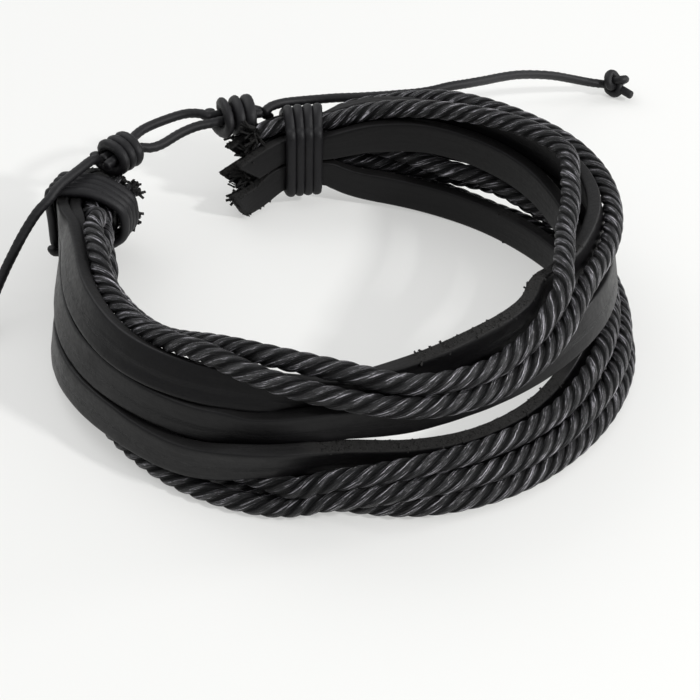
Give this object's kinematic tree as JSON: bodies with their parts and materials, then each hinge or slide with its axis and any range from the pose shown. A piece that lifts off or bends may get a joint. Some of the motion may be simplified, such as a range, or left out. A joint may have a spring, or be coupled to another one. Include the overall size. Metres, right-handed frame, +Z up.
{
  "type": "layered bracelet",
  "caption": "Open ring of stacked leather strips and laid ropes, bound at both ends and closed by two thin cords that slide through wrapped knots.",
  "frame": {"origin": "centre of the bracelet's footprint, on the surface it stands on, free cord ends left out", "axes": "+Z up along the wrist axis, +Y towards the gap between the two bindings, +X to the right seen from the strand side"},
  "size_m": [0.0891, 0.0964, 0.02],
  "materials": {
    "strip_leather": "dyed black leather, satin face and raw cut edges",
    "laid_rope": "black waxed rope laid from four plies, glossy",
    "thin_cord": "black waxed cotton cord"
  },
  "bodies": {
    "root": {"strip_upper": "strip_leather", "strip_middle": "strip_leather", "strip_lower": "strip_leather", "strip_inner": "strip_leather", "rope_top": "laid_rope", "rope_second": "laid_rope", "rope_third": "laid_rope", "rope_fourth": "laid_rope", "rope_bottom": "laid_rope", "left_binding": "thin_cord", "right_binding": "thin_cord", "left_knot": "thin_cord", "right_knot": "thin_cord", "outer_bridge_cord": "thin_cord", "inner_bridge_cord": "thin_cord", "left_tail": "thin_cord", "right_tail": "thin_cord", "left_end_knot": "thin_cord", "right_end_knot": "thin_cord"}
  },
  "joints": []
}
